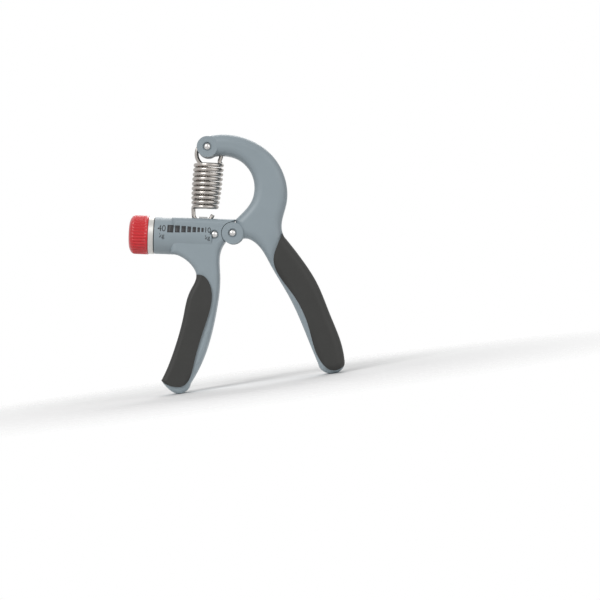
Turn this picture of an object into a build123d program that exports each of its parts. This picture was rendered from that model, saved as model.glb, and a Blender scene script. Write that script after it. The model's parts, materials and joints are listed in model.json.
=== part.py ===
from build123d import *

import math
import os

# Adjustable hand dynamometer, in millimetres. It is drawn with the pivot at the origin, the barrel along X and the
# front face towards -Y, then stood on its two handle tips with the origin under the middle of its box.

# Barrel, knob and screw
BARREL_Z = -2.8  # height of the barrel's axis from the pivot
BARREL_R = 10.3
BARREL_MOUTH_X = -43.5
BARREL_END_X = -11.5
BORE_R = 7.5
BORE_END_X = -7.7
SLOT_HALF = 2.7
SLOT_X = (-39.9, -13.9)
COLLAR_X = (-46.8, -44.0)
COLLAR_R = 10.5
KNOB_X = (-58.0, -46.95)
KNOB_R = 11.0
KNOB_CAVITY_R = 8.0
SCREW_R = 3.0
JOURNAL_R = 1.5
RUNNING_GAP = 0.06

# Slider at the lightest setting
NUT_X = (-21.0, -14.4)
NUT_R = 7.2
LUG_X = (-19.2, -14.6)
LUG_HALF = 2.3
LUG_TOP = 8.6
TRAVEL = 20.0

# Levers
BODY_HALF = 9.5
ARCH_HALF = 8.5
PAD_HALF = 10.6
CORE_HALF = 8.0
BARREL_INWARD = (2.4, -0.7)  # how far the tongue stands in from the outer side
ARCH_INWARD = (-2.1, -1.2)
LUG_R = 6.0
TONGUE_HALF = 3.7
CHEEK_GAP = 0.3
BARREL_ROUND = 3.0  # edge rounds of the two levers
ARCH_ROUND = 4.8

# Pins
PIN_R = 1.5
HEAD_R = 2.1
POCKET_R = 2.6
POCKET_DEPTH = 0.7
PIVOT = (0.0, 0.0)
END_PIN = (-10.0, -1.2)
SPRING_PIN = (-16.0, 47.5)
ARCH_END_R = 5.8
SPRING_SLOT_HALF = 1.7

# Spring
WIRE_R = 1.15
COIL_R = 7.4
COIL_PITCH = 2.75
COIL_TURNS = 9
COIL_TOP = (-15.0, 38.3)
COIL_FOOT = (-16.3, 13.6)
LOOP_R = 7.0

TIP_LEFT = (-26.6, -84.6, 5.9)  # centre and radius of the round that the left handle stands on
TIP_RIGHT = (57.2, -69.2, 6.8)


def face_of(*edges):
    return Plane.XZ * make_face([edge for line in edges for edge in line.edges()])


def slab(face, half):
    """A flat face in the mid-plane, thickened by half to each side."""
    return extrude(face, amount=half, both=True)


def rod_y(at, radius, half):
    return Pos(at[0], 0, at[1]) * Rot(90, 0, 0) * Cylinder(radius, 2 * half)


def rod_x(x_from, x_to, radius, z=BARREL_Z):
    middle = (x_from + x_to) / 2
    return Pos(middle, 0, z) * Rot(0, 90, 0) * Cylinder(radius, abs(x_to - x_from))


def block(x, y_half, z):
    size = (x[1] - x[0], 2 * y_half, z[1] - z[0])
    return Pos((x[0] + x[1]) / 2, 0, (z[0] + z[1]) / 2) * Box(*size)


def arch_lever_outline():
    start, shoulder = (-17.0, 53.3), (28.8, -0.8)
    outer = Spline(start, (-7.3, 54.9), (6.7, 52.7), (20.1, 44.4), (28.1, 31.2), (29.3, 18.3), (27.0, 5.5), shoulder)
    heel = (65.3, -69.4)
    back = Spline(shoulder, (39.8, -13.8), (47.9, -25.5), (56.1, -43.1), (62.8, -58.5), heel)
    toe_in = (50.6, -71.0)
    tip = Spline(heel, (63.2, -74.2), (57.2, -76.0), (52.9, -74.5), toe_in)
    inner = Spline(toe_in, (45.2, -59.3), (33.3, -34.9), (21.6, -16.5), (12.6, -4.6), (8.0, -2.5), (2.4, -5.0))
    neck = Line((2.4, -5.0), (1.2, 7.6))
    bow = Spline((1.2, 7.6), (5.2, 11.8), (9.6, 18.0), (11.0, 27.1), (8.4, 34.8), (2.6, 40.7), (-6.0, 43.2), (-14.0, 42.2))
    close = Line((-14.0, 42.2), start)
    return face_of(outer, back, tip, inner, neck, bow, close)


def barrel_lever_outline():
    top_left, notch = (-34.0, 7.4), (1.0, 7.7)
    top = Line(top_left, notch)
    seam = Line(notch, (-4.2, -5.2))
    inner = Spline((-4.2, -5.2), (-6.5, -10.0), (-6.4, -24.0), (-7.6, -44.0), (-13.4, -69.9), (-20.6, -85.3))
    tip = Spline((-20.6, -85.3), (-23.2, -89.6), (-26.9, -90.5), (-31.5, -88.6), (-36.3, -83.6))
    outer = Spline((-36.3, -83.6), (-29.6, -65.3), (-25.4, -47.0), (-22.2, -33.0), (-19.2, -25.0), (-24.5, -16.6), (-34.0, -12.9))
    heel = Line((-34.0, -12.9), top_left)
    return face_of(top, seam, inner, tip, outer, heel)


def arch_pad_area():
    edge = Spline((28.0, 1.5), (24.9, -6.6), (23.4, -13.0), (34.6, -32.4), (44.6, -51.2), (51.6, -69.0), (55.6, -73.0), (67.5, -68.6))
    return face_of(edge, Polyline((67.5, -68.6), (75.0, -60.0), (40.0, 3.0), (28.0, 1.5)))


def barrel_pad_area():
    edge = Spline((-20.5, -24.4), (-14.0, -25.2), (-11.0, -30.0), (-12.5, -49.9), (-18.4, -73.0), (-24.0, -86.0), (-29.4, -86.6), (-38.5, -80.6))
    return face_of(edge, Polyline((-38.5, -80.6), (-46.0, -70.0), (-28.0, -26.0), (-20.5, -24.4)))


def rounded(solid, half, radius):
    """The solid with the outline edges of its two flat faces rounded."""
    return fillet([e for e in solid.edges() if abs(abs(e.center().Y) - half) < 0.01], radius)


def pin_pocket(at, half):
    front = Pos(at[0], -half, at[1]) * Rot(90, 0, 0) * Cylinder(POCKET_R, 2 * POCKET_DEPTH)
    back = Pos(at[0], half, at[1]) * Rot(90, 0, 0) * Cylinder(POCKET_R, 2 * POCKET_DEPTH)
    return front + back + rod_y(at, PIN_R, half + 2)


def handle_tongue(outline, pad_area, inward):
    """The thinner part of the moulding under the rubber, set in from the handle's outer side."""
    return slab((Pos(inward[0], 0, inward[1]) * outline) & outline & pad_area, CORE_HALF)


def handle_core(outline, pad_area, inward, half, edge_round):
    """The rigid moulding: full section outside the pad, a thinner tongue under it."""
    full = rounded(slab(outline, half), half, edge_round) - slab(pad_area, 2 * half)
    return full + handle_tongue(outline, pad_area, inward)


def handle_pad(outline, pad_area, inward, edge_round):
    """The rubber sleeve that wraps the tongue on its outer side and both faces."""
    skin = rounded(slab(outline, PAD_HALF), PAD_HALF, edge_round) & slab(pad_area, 2 * PAD_HALF)
    return skin - handle_tongue(outline, pad_area, inward)


def make_barrel_lever():
    body = handle_core(barrel_lever_outline(), barrel_pad_area(), BARREL_INWARD, BODY_HALF, BARREL_ROUND)
    body += rod_x(BARREL_MOUTH_X, BARREL_END_X, BARREL_R)
    ring = rod_y(PIVOT, LUG_R + CHEEK_GAP, 20) - rod_y(PIVOT, LUG_R + CHEEK_GAP, TONGUE_HALF)
    body -= ring
    body += rod_y(PIVOT, LUG_R - 0.6, TONGUE_HALF) + block((-9.0, -3.0), TONGUE_HALF, (-4.0, 4.0))
    body -= rod_x(BARREL_MOUTH_X - 1, BORE_END_X, BORE_R) - block((-9.0, 9.0), TONGUE_HALF, (-20, 20))
    body -= block(SLOT_X, SLOT_HALF, (BARREL_Z, 12.0)) + block((-16.0, -9.6), SLOT_HALF, (4.75, 12.0))
    body -= pin_pocket(END_PIN, BODY_HALF)
    return body - rod_y(PIVOT, PIN_R + 0.8, TONGUE_HALF + 1)


def make_arch_lever():
    body = handle_core(arch_lever_outline(), arch_pad_area(), ARCH_INWARD, ARCH_HALF, ARCH_ROUND)
    body += slab(Plane.XZ * Circle(LUG_R), BODY_HALF) + rod_y(SPRING_PIN, ARCH_END_R, ARCH_HALF)
    body -= rod_y(PIVOT, LUG_R + CHEEK_GAP, TONGUE_HALF + CHEEK_GAP)
    body -= block((-24.0, -6.4), SPRING_SLOT_HALF, (36.0, 52.6))
    body -= pin_pocket(SPRING_PIN, ARCH_HALF)
    return body - pin_pocket(PIVOT, BODY_HALF)


def make_pin(at, half, shank_r=PIN_R):
    """A headed pin: a domed head in the front pocket, and a shank that reaches the rear cap."""
    face = -half + POCKET_DEPTH
    dome = Pos(at[0], face + 0.9, at[1]) * Sphere(2.3) & block((at[0] - 4, at[0] + 4), 30, (at[1] - 4, at[1] + 4))
    head = dome & (Pos(at[0], face - 5, at[1]) * Box(10, 10, 10))
    length = 2 * half - 2 * POCKET_DEPTH
    return head + Pos(at[0], 0, at[1]) * Rot(90, 0, 0) * Cylinder(shank_r, length)


def make_pin_cap(at, half):
    seat = half - POCKET_DEPTH
    return Pos(at[0], seat + 0.4, at[1]) * Rot(90, 0, 0) * Cylinder(POCKET_R - 0.1, 0.8)


def make_spring():
    """Close coils between a full end loop over the top pin and an open hook through the slider's eye."""
    foot, top = Vector(COIL_FOOT[0], 0, COIL_FOOT[1]), Vector(COIL_TOP[0], 0, COIL_TOP[1])
    axis = (top - foot).normalized()
    frame = Plane(origin=foot, x_dir=(-1, 0, 0), z_dir=axis)
    height = COIL_TURNS * COIL_PITCH
    helix = frame * Helix(COIL_PITCH, height, COIL_R)
    start = Plane(origin=helix @ 0, z_dir=helix % 0)
    coil = sweep(start * Circle(WIRE_R), path=helix, is_frenet=True)
    loop_z = SPRING_PIN[1] + 2.2 + WIRE_R - LOOP_R
    loop = Pos(SPRING_PIN[0] + 0.8, 0, loop_z) * Rot(90, 0, 0) * Torus(LOOP_R, WIRE_R)
    left, bottom, right = (-22.9, 0, 12.4), (-17.2, 0, 5.0), (-11.6, 0, 10.2)
    hook_path = Spline(left, (-21.9, 0, 7.8), bottom, (-12.9, 0, 7.4), right)
    hook = sweep(Plane(origin=left, z_dir=hook_path % 0) * Circle(WIRE_R), path=hook_path)
    return Compound([solid for shape in (coil, loop, hook) for solid in shape.solids()])


def make_knob_cap():
    rim = 3.2
    x0, x1 = KNOB_X
    shell = rod_x(x0, x1, KNOB_R)
    end_edges = [e for e in shell.edges() if abs(e.center().X - x0) < 0.01]
    return fillet(end_edges, rim) - rod_x(x0 + 2.8, x1 + 1, KNOB_CAVITY_R)


def make_slider_nut():
    body = rod_x(NUT_X[0], NUT_X[1], NUT_R) + block(LUG_X, LUG_HALF, (0.0, 4.0))
    body -= rod_x(NUT_X[0] - 1, NUT_X[1] + 1, SCREW_R + RUNNING_GAP)
    return body - block((-30, -10), LUG_HALF + 0.01, (3.0, 12.0))


def make_slider_eye():
    eye = block(LUG_X, LUG_HALF, (3.0, LUG_TOP))
    return eye - block((-30, -10), WIRE_R + 0.25, (3.4, 7.2))


def make_lead_screw():
    body = rod_x(KNOB_X[0] + 4.0, NUT_X[1] + 0.3, SCREW_R) + rod_x(NUT_X[1] + 0.2, -12.2, JOURNAL_R)
    return body - rod_x(KNOB_X[0] + 3.0, KNOB_X[0] + 10.0, 1.2)


hub_x = (KNOB_X[0] + 3.6, KNOB_X[1])
bush_x = (COLLAR_X[0] + 0.1, NUT_X[0] - TRAVEL - 0.4)
block_x = (-13.7, BORE_END_X - 1.3)

screw_bearing = rod_x(block_x[0], block_x[1], BORE_R - 0.02)
screw_bearing -= rod_x(block_x[0] - 1, -12.0, JOURNAL_R + RUNNING_GAP) + rod_y(END_PIN, PIN_R, 20)
mouth_bush = rod_x(bush_x[0], BARREL_MOUTH_X, 8.2) + rod_x(BARREL_MOUTH_X, bush_x[1], BORE_R - 0.02)
mouth_bush -= rod_x(-60, -30, SCREW_R + RUNNING_GAP)
knob_fixing = rod_x(KNOB_X[0] + 4.0, KNOB_X[0] + 9.9, 1.2) + rod_x(KNOB_X[0] + 2.85, KNOB_X[0] + 3.55, 2.6)
knob_fixing += rod_x(KNOB_X[0] + 3.5, KNOB_X[0] + 4.1, 1.2)

parts = {
    "barrel_lever": make_barrel_lever(),
    "arch_lever": make_arch_lever(),
    "barrel_lever_grip": handle_pad(barrel_lever_outline(), barrel_pad_area(), BARREL_INWARD, BARREL_ROUND),
    "arch_lever_grip": handle_pad(arch_lever_outline(), arch_pad_area(), ARCH_INWARD, ARCH_ROUND),
    "pivot_pin": make_pin(PIVOT, BODY_HALF),
    "pivot_bush": rod_y(PIVOT, PIN_R + 0.79, TONGUE_HALF) - rod_y(PIVOT, PIN_R + 0.05, 20),
    "pivot_pin_cap": make_pin_cap(PIVOT, BODY_HALF),
    "screw_end_pin": make_pin(END_PIN, BODY_HALF),
    "screw_end_pin_cap": make_pin_cap(END_PIN, BODY_HALF),
    "spring_pin": make_pin(SPRING_PIN, ARCH_HALF),
    "spring_pin_cap": make_pin_cap(SPRING_PIN, ARCH_HALF),
    "spring_pin_sleeve": rod_y(SPRING_PIN, 2.1, SPRING_SLOT_HALF - 0.1) - rod_y(SPRING_PIN, PIN_R, 20),
    "tension_spring": make_spring(),
    "lead_screw": make_lead_screw(),
    "slider_nut": make_slider_nut(),
    "slider_eye": make_slider_eye(),
    "screw_bearing": screw_bearing,
    "mouth_bush": mouth_bush,
    "collar_ring": rod_x(COLLAR_X[0], COLLAR_X[1], COLLAR_R) - rod_x(-60, -40, 8.2),
    "knob_cap": make_knob_cap(),
    "knob_hub": rod_x(hub_x[0], hub_x[1], KNOB_CAVITY_R) - rod_x(hub_x[0] + 0.4, -40, SCREW_R)
    - rod_x(-60, -40, 1.2),
    "knob_fixing_screw": knob_fixing,
}

# Standing: the lower common tangent of the two tip rounds becomes level.
span_x, span_z = TIP_RIGHT[0] - TIP_LEFT[0], TIP_RIGHT[1] - TIP_LEFT[1]
lean = math.atan2(span_z, span_x) - math.asin((TIP_RIGHT[2] - TIP_LEFT[2]) / math.hypot(span_x, span_z))
turned = {name: Rot(0, math.degrees(lean), 0) * shape for name, shape in parts.items()}
box = Compound([solid for shape in turned.values() for solid in shape.solids()]).bounding_box()
shift = Pos(-(box.min.X + box.max.X) / 2, 0, -box.min.Z)


def placed(point):
    """Where a point of the drawing lands on the standing part, in metres."""
    c, s = math.cos(lean), math.sin(lean)
    x, z = point[0] * c + point[1] * s, -point[0] * s + point[1] * c
    return [round((x + shift.position.X) / 1000, 6), 0.0, round((z + shift.position.Z) / 1000, 6)]


os.makedirs("parts", exist_ok=True)
for name, shape in turned.items():
    export_step(Compound([shift * solid for solid in shape.solids()]), f"parts/{name}.step")
print("lean", math.degrees(lean), "box", box.size)
for label, point in {"pivot": PIVOT, "spring_pin": SPRING_PIN, "end_pin": END_PIN, "knob": (-50, BARREL_Z)}.items():
    print(label, placed(point))
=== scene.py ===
import json
import math

import bmesh
import bpy
import numpy as np
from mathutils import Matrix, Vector


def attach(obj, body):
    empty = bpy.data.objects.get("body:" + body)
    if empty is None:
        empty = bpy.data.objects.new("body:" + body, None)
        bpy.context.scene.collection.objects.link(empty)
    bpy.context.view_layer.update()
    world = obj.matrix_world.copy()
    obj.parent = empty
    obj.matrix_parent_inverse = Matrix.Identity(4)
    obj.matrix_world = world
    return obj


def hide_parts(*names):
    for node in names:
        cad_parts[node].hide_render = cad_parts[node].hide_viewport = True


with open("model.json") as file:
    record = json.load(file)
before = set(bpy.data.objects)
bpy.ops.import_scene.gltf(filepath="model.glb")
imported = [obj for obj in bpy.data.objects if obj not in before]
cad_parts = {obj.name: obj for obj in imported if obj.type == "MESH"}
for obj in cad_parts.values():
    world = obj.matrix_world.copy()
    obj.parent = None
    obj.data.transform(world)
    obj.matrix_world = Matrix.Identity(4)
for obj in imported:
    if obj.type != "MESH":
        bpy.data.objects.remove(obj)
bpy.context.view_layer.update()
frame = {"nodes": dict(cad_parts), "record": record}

bl_info = {
    "name": "Hand dynamometer",
    "version": (1, 0, 0),
    "blender": (4, 5, 0),
    "location": "View3D > Sidebar > Dynamometer",
    "description": "Finishes and fine pieces of an adjustable spring hand gripper",
    "category": "Object",
}

JOINTS = {j["name"]: j for j in frame["record"]["behaviour"]["joints"]}
PIVOT = np.array(JOINTS["squeeze"]["pos_m"], float)
SPRING_PIN = np.array(JOINTS["spring_swing"]["pos_m"], float)
TO_KNOB = np.array(JOINTS["slider_travel"]["axis"], float)
BARREL_POINT = np.array(JOINTS["knob_turn"]["pos_m"], float)
ACROSS = -TO_KNOB  # along the barrel, away from the knob
UP = np.array([-ACROSS[2], 0.0, ACROSS[0]])  # square to the barrel, upwards
MM = 0.001


def from_pivot(x, y, z):
    """The point x mm along the barrel, y mm to the back and z mm square to it, in the row frame."""
    x, y, z = np.broadcast_arrays(np.asarray(x, float), y, z)
    side = np.array([0.0, 1.0, 0.0])
    return PIVOT + MM * (x[..., None] * ACROSS + y[..., None] * side + z[..., None] * UP)


BARREL_Z = float((BARREL_POINT - PIVOT) @ UP) / MM
BARREL_R = 10.3
LEVER_HALF = 9.5  # half the lever's thickness, which the print lies on from LEVER_FLAT_X on
LEVER_FLAT_X = -34.2
COIL_TOP = np.array([-15.0, 0.0, 38.2])


# ---------------------------------------------------------------- meshes


def grid_piece(name, points):
    """A surface through a grid of points: rows run along u, columns along v, and v closes on itself."""
    rows, cols = points.shape[:2]
    i, j = np.meshgrid(np.arange(rows - 1), np.arange(cols), indexing="ij")
    beside = (j + 1) % cols
    corners = [i * cols + j, i * cols + beside, (i + 1) * cols + beside, (i + 1) * cols + j]
    faces = np.stack(corners, -1).reshape(-1, 4).tolist()
    faces += [list(range(cols))[::-1], list(range((rows - 1) * cols, rows * cols))]
    mesh = bpy.data.meshes.new(name)
    mesh.from_pydata(points.reshape(-1, 3).tolist(), [], faces)
    mesh.validate()
    return finished(name, mesh)


def finished(name, mesh):
    """A linked object with smooth, outward faces."""
    work = bmesh.new()
    work.from_mesh(mesh)
    bmesh.ops.remove_doubles(work, verts=work.verts, dist=1e-7)
    bmesh.ops.recalc_face_normals(work, faces=work.faces)
    work.to_mesh(mesh)
    work.free()
    mesh.polygons.foreach_set("use_smooth", np.ones(len(mesh.polygons), bool))
    obj = bpy.data.objects.new(name, mesh)
    bpy.context.scene.collection.objects.link(obj)
    return obj


def wire_mesh(name, line, radius):
    """A round wire: a circle carried along the line, closed at both ends."""
    curve = bpy.data.curves.new(name + "_line", "CURVE")
    curve.dimensions = "3D"
    curve.bevel_depth = radius
    curve.bevel_resolution = 4
    curve.use_fill_caps = True
    spline = curve.splines.new("POLY")
    spline.points.add(len(line) - 1)
    spline.points.foreach_set("co", np.c_[line, np.ones(len(line))].ravel())
    holder = bpy.data.objects.new(name + "_line", curve)
    bpy.context.scene.collection.objects.link(holder)
    graph = bpy.context.evaluated_depsgraph_get()
    mesh = bpy.data.meshes.new_from_object(holder.evaluated_get(graph), depsgraph=graph)
    bpy.data.objects.remove(holder)
    return finished(name, mesh)


def evened(line, step, passes):
    """The line at even steps, its corners rounded by averaging each point with its neighbours."""
    run = np.r_[0.0, np.cumsum(np.linalg.norm(np.diff(line, axis=0), axis=1))]
    at = np.linspace(0.0, run[-1], int(run[-1] / step))
    line = np.stack([np.interp(at, run, line[:, k]) for k in range(3)], 1)
    for _ in range(passes):
        line[1:-1] = 0.25 * line[:-2] + 0.5 * line[1:-1] + 0.25 * line[2:]
    return line


# ---------------------------------------------------------------- materials


class Value:
    """A number or colour socket; arithmetic on it adds Math nodes."""

    def __init__(self, tree, socket):
        self.tree, self.socket = tree, socket

    def math(self, operation, *others):
        node = self.tree.nodes.new("ShaderNodeMath")
        node.operation = operation
        for slot, value in zip(node.inputs, others):
            feed(self.tree, slot, value)
        return Value(self.tree, node.outputs[0])

    def __add__(self, other):
        return self.math("ADD", self, other)

    def __radd__(self, other):
        return self.math("ADD", other, self)

    def __mul__(self, other):
        return self.math("MULTIPLY", self, other)

    def __rmul__(self, other):
        return self.math("MULTIPLY", other, self)


def feed(tree, slot, value):
    if isinstance(value, Value):
        tree.links.new(value.socket, slot)
    else:
        slot.default_value = value


class Finish:
    """One material: a Principled shader and the nodes that vary it."""

    def __init__(self, name, metallic=0.0, coat=0.0, specular=0.5):
        self.material = bpy.data.materials.new(name)
        self.material.use_nodes = True
        self.tree = self.material.node_tree
        self.shader = self.tree.nodes["Principled BSDF"]
        self.shader.inputs["Metallic"].default_value = metallic
        self.shader.inputs["Coat Weight"].default_value = coat
        self.shader.inputs["Specular IOR Level"].default_value = specular
        self.place = self.node("ShaderNodeTexCoord", out="Object")

    def node(self, kind, settings=None, out=0, **sockets):
        made = self.tree.nodes.new(kind)
        for key, value in (settings or {}).items():
            setattr(made, key, value)
        for key, value in sockets.items():
            feed(self.tree, made.inputs[key.replace("_", " ")], value)
        return Value(self.tree, made.outputs[out])

    def noise(self, scale, detail=4.0, stretch=None):
        where = self.place
        if stretch:
            where = self.node("ShaderNodeMapping", Vector=where, Scale=stretch)
        return self.node(
            "ShaderNodeTexNoise", Vector=where, Scale=scale, Detail=detail, Roughness=0.6
        )

    def mix(self, factor, first, second):
        made = self.tree.nodes.new("ShaderNodeMix")
        made.data_type = "RGBA"
        feed(self.tree, made.inputs[0], factor)
        feed(self.tree, made.inputs[6], first)
        feed(self.tree, made.inputs[7], second)
        return Value(self.tree, made.outputs[2])

    def set(self, colour, roughness, height=None, depth=0.00005, strength=0.3):
        feed(self.tree, self.shader.inputs["Base Color"], colour)
        feed(self.tree, self.shader.inputs["Roughness"], roughness)
        if height is not None:
            bump = self.node("ShaderNodeBump", Height=height, Strength=strength, Distance=depth)
            feed(self.tree, self.shader.inputs["Normal"], bump)
        return self.material


def moulded(name, colour, roughness, grain, coat=0.0, spread=0.08):
    """Moulded plastic or rubber: slow mottling of the colour, and a fine spark-eroded grain."""
    finish = Finish(name, coat=coat)
    slow, fine = finish.noise(55.0), finish.noise(2600.0, 2.0)
    dark = tuple(c * (1 - spread) for c in colour) + (1.0,)
    light = tuple(min(1.0, c * (1 + spread)) for c in colour) + (1.0,)
    tint = finish.mix(slow * 0.75 + fine * 0.25, dark, light)
    gloss = slow * 0.12 + fine * 0.08 + (roughness - 0.1)
    return finish.set(tint, gloss, fine + slow * 0.3, grain, 0.35)


def metal(name, colour, roughness, stretch, strength=0.15):
    """Metal with fine drawn or turned lines along one direction."""
    finish = Finish(name, metallic=1.0)
    lines, slow = finish.noise(420.0, 3.0, stretch), finish.noise(90.0)
    dark = tuple(c * 0.86 for c in colour) + (1.0,)
    tint = finish.mix(lines * 0.6 + slow * 0.4, dark, colour + (1.0,))
    return finish.set(tint, lines * 0.14 + (roughness - 0.05), lines, 0.00002, strength)


def printed_ink(name):
    """Black pad print, slightly thin and uneven over the grain."""
    finish = Finish(name)
    worn = finish.noise(1500.0, 3.0)
    tint = finish.mix(worn, (0.008, 0.008, 0.009, 1), (0.035, 0.037, 0.04, 1))
    return finish.set(tint, worn * 0.2 + 0.4)


def dress(obj, material):
    obj.data.materials.clear()
    obj.data.materials.append(material)


def paint_node(node, material):
    """Gives a CAD node's material slots a finish; its mesh stays as it is."""
    obj = frame["nodes"][node]
    if not obj.material_slots:
        obj.data.materials.append(material)
    for slot in obj.material_slots:
        slot.material = material


# ---------------------------------------------------------------- settings


class DynamometerLooks(bpy.types.PropertyGroup):
    plastic: bpy.props.FloatVectorProperty(
        name="Lever colour",
        description="Blue-grey moulded levers",
        subtype="COLOR",
        default=(0.315, 0.375, 0.41),
    )
    rubber: bpy.props.FloatVectorProperty(
        name="Grip colour",
        description="Charcoal rubber",
        subtype="COLOR",
        default=(0.028, 0.028, 0.026),
    )
    knob: bpy.props.FloatVectorProperty(
        name="Knob colour",
        description="Red knob",
        subtype="COLOR",
        default=(0.68, 0.012, 0.02),
    )


class DynamometerSizes(bpy.types.PropertyGroup):
    wire: bpy.props.FloatProperty(
        name="Wire radius", description="Spring wire, mm", default=1.15, min=0.5, max=2.0
    )
    turns: bpy.props.IntProperty(
        name="Turns", description="Turns in the coil", default=10, min=4, max=20
    )
    ribs: bpy.props.IntProperty(
        name="Knob ribs", description="Ribs round the knob", default=38, min=12, max=60
    )


# ---------------------------------------------------------------- operators


class PaintNodes(bpy.types.Operator):
    """Gives every carried-over part its finish"""

    bl_idname = "dynamometer.paint_nodes"
    bl_label = "Finish the parts"

    def execute(self, context):
        looks = context.scene.dynamometer_looks
        grey = moulded("lever_plastic", tuple(looks.plastic), 0.42, 0.00004)
        rubber = moulded("grip_rubber", tuple(looks.rubber), 0.55, 0.00008, spread=0.35)
        steel = metal("pin_steel", (0.72, 0.71, 0.70), 0.2, (1, 1, 1))
        zinc = metal("zinc_steel", (0.55, 0.55, 0.54), 0.35, (1, 8, 8))
        brass = metal("nut_brass", (0.72, 0.55, 0.28), 0.33, (1, 8, 8))
        collar = metal("collar_metal", (0.74, 0.73, 0.70), 0.3, (12, 1, 1), 0.3)
        white = moulded("white_nylon", (0.72, 0.71, 0.67), 0.45, 0.00003)
        black = moulded("black_nylon", (0.03, 0.03, 0.032), 0.5, 0.00003)
        finishes = {
            "barrel_lever": grey,
            "arch_lever": grey,
            "barrel_lever_grip": rubber,
            "arch_lever_grip": rubber,
            "collar_ring": collar,
            "lead_screw": zinc,
            "slider_eye": zinc,
            "knob_fixing_screw": zinc,
            "slider_nut": brass,
            "mouth_bush": black,
            "screw_bearing": white,
            "pivot_bush": white,
            "knob_hub": white,
            "spring_pin_sleeve": white,
        }
        for node in frame["nodes"]:
            paint_node(node, finishes.get(node, steel))
        return {"FINISHED"}


class MakeKnob(bpy.types.Operator):
    """The red knob: a domed cap with ribs round its side"""

    bl_idname = "dynamometer.knob"
    bl_label = "Knob"

    def execute(self, context):
        # The radius is a function of the station along the profile and the angle round it. The profile is a
        # slightly domed end, a rounded shoulder, a straight side and the inner wall. The ribs are a squared
        # cosine of the angle, which fades out over the shoulder and at the mouth.
        ribs = context.scene.dynamometer_sizes.ribs
        end, mouth, full, inner = -57.9, -46.97, 10.85, 8.05
        round_x, round_r = 3.4, 5.2
        quarter = np.linspace(0.0, math.pi / 2, 22)
        dome_steps, side_steps, dome_height, depth_inside = 7, 14, 0.25, 7.5
        xs = np.r_[
            end - dome_height * np.cos(np.linspace(0, math.pi / 2, dome_steps)),
            end + round_x * (1 - np.cos(quarter)),
            np.linspace(end + round_x + 0.3, mouth - 0.5, side_steps),
            mouth - 0.12,
            mouth,
            mouth,
            mouth - depth_inside,
        ]
        rs = np.r_[
            np.linspace(0.02, full - round_r - 0.05, dome_steps),
            full - round_r + round_r * np.sin(quarter),
            np.full(side_steps, full),
            full,
            full - 0.25,
            inner,
            inner,
        ]
        angle = np.linspace(0, 2 * math.pi, ribs * 12, endpoint=False)
        groove_depth = 0.42
        fade_in, fade_out = (xs - end - 1.6) / 1.6, (mouth - 1.0 - xs) / 0.5
        depth = groove_depth * np.clip(fade_in, 0, 1) * np.clip(fade_out, 0, 1)
        groove = (0.5 - 0.5 * np.cos(ribs * angle)) ** 2
        radius = rs[:, None] - depth[:, None] * groove[None, :]
        height = BARREL_Z + radius * np.sin(angle)
        knob = grid_piece("ribbed_knob", from_pivot(xs[:, None], radius * np.cos(angle), height))
        red = tuple(context.scene.dynamometer_looks.knob)
        dress(knob, moulded("knob_red", red, 0.28, 0.00002, coat=0.35, spread=0.06))
        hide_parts("knob_cap")
        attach(knob, "adjuster")
        return {"FINISHED"}


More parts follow.
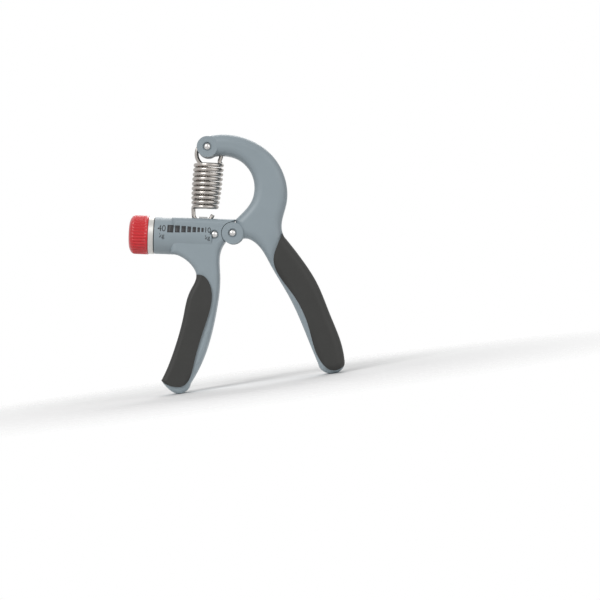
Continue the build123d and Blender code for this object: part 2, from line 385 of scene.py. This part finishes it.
class MakeSpring(bpy.types.Operator):
    """The spring: a full loop over the top pin, barrel-shaped coils, and a hook through the slider's eye"""

    bl_idname = "dynamometer.spring"
    bl_label = "Spring"

    def execute(self, context):
        # The coil is a helix round the line from its top to its foot. Its radius falls with the cube of
        # the way down, and a little at the top. The loop is an arc of a circle that eases sideways into
        # the coil, and the hook is a line through its points. All are joined and smoothed as one line.
        sizes = context.scene.dynamometer_sizes
        turns, wire = sizes.turns, sizes.wire
        foot, top = np.array([-16.3, 0, 13.4]), COIL_TOP
        widest, foot_taper, top_taper = 7.55, 1.1, 0.15
        loop_steps, loop_ease = 80, 1.2
        t = np.linspace(0.0, 1.0, turns * 60)
        angle = 2 * math.pi * (turns - 0.5) * t
        radius = widest - foot_taper * t**3 - top_taper * (1 - t) ** 2
        axis = (top - foot) / np.linalg.norm(top - foot)
        square = np.cross([0.0, 1.0, 0.0], axis)
        coil = top + (foot - top) * t[:, None] + radius[:, None] * (
            np.cos(angle)[:, None] * square + np.sin(angle)[:, None] * np.array([0.0, -1.0, 0.0])
        )
        centre, loop_r = np.array([-15.2, 0.0, 43.9]), 7.0
        sweep = np.radians(np.linspace(-108, -395, loop_steps))
        loop = centre + loop_r * np.stack([np.cos(sweep), 0 * sweep, np.sin(sweep)], 1)
        loop[:, 1] += np.linspace(loop_ease, 0.0, loop_steps) ** 2 * 0.5
        hook = np.array(
            [
                (-22.6, 0, 11.2),
                (-22.4, 0, 8.6),
                (-20.6, 0, 6.2),
                (-17.4, 0, 5.1),
                (-14.4, 0, 5.8),
                (-12.6, 0, 7.8),
                (-11.7, 0, 10.0),
            ]
        )
        line = evened(np.concatenate([loop, coil, hook]), step=0.28, passes=14)
        piece = wire_mesh("coil_spring", from_pivot(line[:, 0], line[:, 1], line[:, 2]), wire * MM)
        # The spring's steel colour is darker and browner than the pins' steel. This is painted dark
        # reflection, standing in for surroundings darker than the white room.
        dress(piece, metal("spring_wire_painted_reflection", (0.50, 0.47, 0.44), 0.24, (1, 1, 1), 0.1))
        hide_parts("tension_spring")
        hook_in_eye, coil_end = from_pivot(-17.2, 0, 5.0), from_pivot(-17.0, 0, 10.5)
        self.rig(piece, hook_in_eye, from_pivot(*COIL_TOP), coil_end)
        return {"FINISHED"}

    def rig(self, piece, hook_at, stretch_from, stretch_to):
        """The loop stays on the pin and the hook in the slider's eye; the coils share the stretch."""
        pin_aim = self.marker("spring_top_aim", SPRING_PIN, "spring")
        eye = self.marker("slider_eye_point", hook_at, "slider")
        pin = self.marker("spring_pin_point", SPRING_PIN, "arch_side")
        self.face(pin_aim, eye, SPRING_PIN, hook_at)
        foot_aim = self.marker("spring_foot_aim", hook_at, "slider")
        self.face(foot_aim, pin, hook_at, SPRING_PIN)
        bpy.context.view_layer.update()
        piece.parent = pin_aim
        piece.matrix_parent_inverse = pin_aim.matrix_world.inverted()
        group = piece.vertex_groups.new(name="towards_slider")
        co = np.empty(len(piece.data.vertices) * 3)
        piece.data.vertices.foreach_get("co", co)
        co = co.reshape(-1, 3)
        run = stretch_to - stretch_from
        weight = np.clip((co - stretch_from) @ run / (run @ run), 0.0, 1.0)
        for index, value in enumerate(weight.tolist()):
            group.add([index], value, "REPLACE")
        pull = piece.modifiers.new("stretch", "HOOK")
        pull.object = foot_aim
        pull.vertex_group = group.name
        pull.matrix_inverse = foot_aim.matrix_world.inverted()

    def marker(self, name, place, body):
        empty = bpy.data.objects.new(name, None)
        empty.empty_display_size = 0.004
        empty.location = Vector(place)
        bpy.context.scene.collection.objects.link(empty)
        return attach(empty, body)

    def face(self, empty, target, place, towards):
        """Turns the marker about Y so that its own Z axis points at the target."""
        way = np.asarray(towards) - np.asarray(place)
        empty.rotation_euler = (0.0, math.atan2(way[0], way[2]), 0.0)
        aim = empty.constraints.new("DAMPED_TRACK")
        aim.target = target
        aim.track_axis = "TRACK_Z"


class MakeScale(bpy.types.Operator):
    """The printed scale on the barrel: two numbers with their unit, and a row of shrinking squares"""

    bl_idname = "dynamometer.scale_print"
    bl_label = "Scale print"

    def on_barrel(self, x, z, lift=0.06):
        """A flat mark carried out to the front of the round barrel, or of the lever's flat face."""
        surface = np.sqrt(np.maximum(BARREL_R**2 - (np.asarray(z) - BARREL_Z) ** 2, 0.0))
        on_lever = np.asarray(x) > LEVER_FLAT_X
        surface = np.where(on_lever, np.maximum(surface, LEVER_HALF), surface)
        return from_pivot(x, -surface - lift, z)

    def text(self, name, words, x, z, size):
        curve = bpy.data.curves.new(name, "FONT")
        curve.body, curve.size, curve.align_x, curve.align_y = words, size, "CENTER", "CENTER"
        curve.extrude = 0.04
        holder = bpy.data.objects.new(name + "_text", curve)
        bpy.context.scene.collection.objects.link(holder)
        graph = bpy.context.evaluated_depsgraph_get()
        mesh = bpy.data.meshes.new_from_object(holder.evaluated_get(graph), depsgraph=graph)
        bpy.data.objects.remove(holder)
        co = np.empty(len(mesh.vertices) * 3)
        mesh.vertices.foreach_get("co", co)
        co = co.reshape(-1, 3)
        narrow, lift = 0.92, 0.02
        placed = self.on_barrel(x + co[:, 0] * narrow, z + co[:, 1], lift + co[:, 2])
        mesh.vertices.foreach_set("co", placed.ravel())
        return finished(name, mesh)

    def execute(self, context):
        ink = printed_ink("scale_ink")
        marks = [
            self.text("scale_heavy_number", "40", -39.3, 0.9, 5.0),
            self.text("scale_heavy_unit", "kg", -39.1, -3.1, 3.6),
            self.text("scale_light_number", "10", -13.9, 0.9, 4.2),
            self.text("scale_light_unit", "kg", -13.7, -3.2, 3.4),
        ]
        left, middle, tallest, shrink, gap = -36.2, 1.0, 4.2, 0.32, 0.92
        for index, width in enumerate((3.4, 2.6, 2.45, 2.0, 1.9, 1.35, 1.25)):
            height = tallest - shrink * index
            along = np.linspace(left, left + width, 3)
            rise = middle + height * np.linspace(-0.5, 0.5, 9)
            x, z = np.meshgrid(along, rise, indexing="ij")
            outer, inner = self.on_barrel(x, z, 0.06), self.on_barrel(x, z, -0.02)
            loop = np.concatenate([outer, inner[:, ::-1]], axis=1)
            marks.append(grid_piece(f"scale_square_{index + 1}", loop))
            left += width + gap - 0.02 * index
        for mark in marks:
            dress(mark, ink)
            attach(mark, "barrel_side")
        return {"FINISHED"}


class MakeStage(bpy.types.Operator):
    """Pale floor, soft lamps and the camera"""

    bl_idname = "dynamometer.stage"
    bl_label = "Stage"

    def execute(self, context):
        scene = context.scene
        reach = np.linspace(-1.5, 1.5, 2)
        x, y = np.meshgrid(reach, reach, indexing="ij")
        mesh = bpy.data.meshes.new("floor")
        corners = np.stack([x, y, 0 * x], -1).reshape(-1, 3)[[0, 2, 3, 1]]
        mesh.from_pydata(corners.tolist(), [], [(0, 1, 2, 3)])
        floor = bpy.data.objects.new("floor", mesh)
        scene.collection.objects.link(floor)
        pale = Finish("floor_pale", specular=0.1)
        tint = pale.mix(pale.noise(3.0), (0.93, 0.93, 0.93, 1), (0.95, 0.95, 0.95, 1))
        dress(floor, pale.set(tint, 0.9))
        # The floor is solid round the gripper and fades out with the distance from it.
        solid_to, gone_at = 0.09, 0.26
        reach_out = pale.node(
            "ShaderNodeVectorMath", {"operation": "LENGTH"}, out="Value", Vector=pale.place
        )
        fade = pale.node(
            "ShaderNodeMapRange",
            Value=reach_out,
            From_Min=solid_to,
            From_Max=gone_at,
            To_Min=1.0,
            To_Max=0.0,
        )
        feed(pale.tree, pale.shader.inputs["Alpha"], fade)
        middle = Vector((0.0, 0.0, 0.07))
        for name, place, size, power in (
            ("key", (-0.45, -0.75, 0.75), 0.5, 5.6),
            ("fill", (0.7, -0.6, 0.35), 0.7, 1.7),
            ("back", (0.1, 0.7, 0.7), 0.7, 4.0),
        ):
            data = bpy.data.lights.new(name, "AREA")
            data.size, data.energy = size, power
            lamp = bpy.data.objects.new(name, data)
            lamp.location = place
            lamp.rotation_euler = (middle - Vector(place)).to_track_quat("-Z", "Y").to_euler()
            scene.collection.objects.link(lamp)
        world = bpy.data.worlds.new("white_room")
        scene.world = world
        world.use_nodes = True
        tree = world.node_tree
        path = tree.nodes.new("ShaderNodeLightPath")
        seen = Value(tree, path.outputs["Is Camera Ray"])
        seen = seen.math("MAXIMUM", seen, Value(tree, path.outputs["Is Glossy Ray"]) * 0.75)
        seen = seen.math("MAXIMUM", seen, Value(tree, path.outputs["Is Transmission Ray"]))
        tree.nodes["Background"].inputs[0].default_value = (1, 1, 1, 1)
        feed(tree, tree.nodes["Background"].inputs[1], 0.3 + seen * 0.7)
        self.camera(scene)
        scene.view_settings.view_transform = "Standard"
        return {"FINISHED"}

    def camera(self, scene):
        """Square to the front face, and turned so that the barrel slopes down to the right by a little."""
        slope, view_width, distance = math.radians(2.3), 0.336, 1.1
        lean = math.atan2(-ACROSS[2], ACROSS[0])
        roll = lean - slope
        right = Vector((math.cos(roll), 0.0, -math.sin(roll)))
        up = Vector((math.sin(roll), 0.0, math.cos(roll)))
        aim_right, aim_down = 0.1117, 0.1108  # from the pivot, as shares of the view's width
        aim = Vector(PIVOT) + right * aim_right * view_width - up * aim_down * view_width
        data = bpy.data.cameras.new("camera")
        data.lens = data.sensor_width * distance / view_width
        data.clip_start = 0.01
        camera = bpy.data.objects.new("camera", data)
        camera.location = aim - Vector((0.0, distance, 0.0))
        camera.rotation_euler = (math.pi / 2, roll, 0.0)
        scene.collection.objects.link(camera)
        scene.camera = camera


class DynamometerPanel(bpy.types.Panel):
    bl_idname = "VIEW3D_PT_dynamometer"
    bl_label = "Dynamometer"
    bl_space_type = "VIEW_3D"
    bl_region_type = "UI"
    bl_category = "Dynamometer"

    def draw(self, context):
        for group in (context.scene.dynamometer_looks, context.scene.dynamometer_sizes):
            for key in group.bl_rna.properties.keys():
                if key not in ("rna_type", "name"):
                    self.layout.prop(group, key)
        for step in STEPS:
            self.layout.operator(step.bl_idname)


STEPS = (PaintNodes, MakeKnob, MakeSpring, MakeScale, MakeStage)
CLASSES = (DynamometerLooks, DynamometerSizes, *STEPS, DynamometerPanel)


def register():
    for item in CLASSES:
        bpy.utils.register_class(item)
    bpy.types.Scene.dynamometer_looks = bpy.props.PointerProperty(type=DynamometerLooks)
    bpy.types.Scene.dynamometer_sizes = bpy.props.PointerProperty(type=DynamometerSizes)


def unregister():
    del bpy.types.Scene.dynamometer_sizes, bpy.types.Scene.dynamometer_looks
    for item in reversed(CLASSES):
        bpy.utils.unregister_class(item)


def main():
    register()
    bpy.ops.dynamometer.paint_nodes()
    bpy.ops.dynamometer.knob()
    bpy.ops.dynamometer.spring()
    bpy.ops.dynamometer.scale_print()
    bpy.ops.dynamometer.stage()


if __name__ == "__main__":
    main()
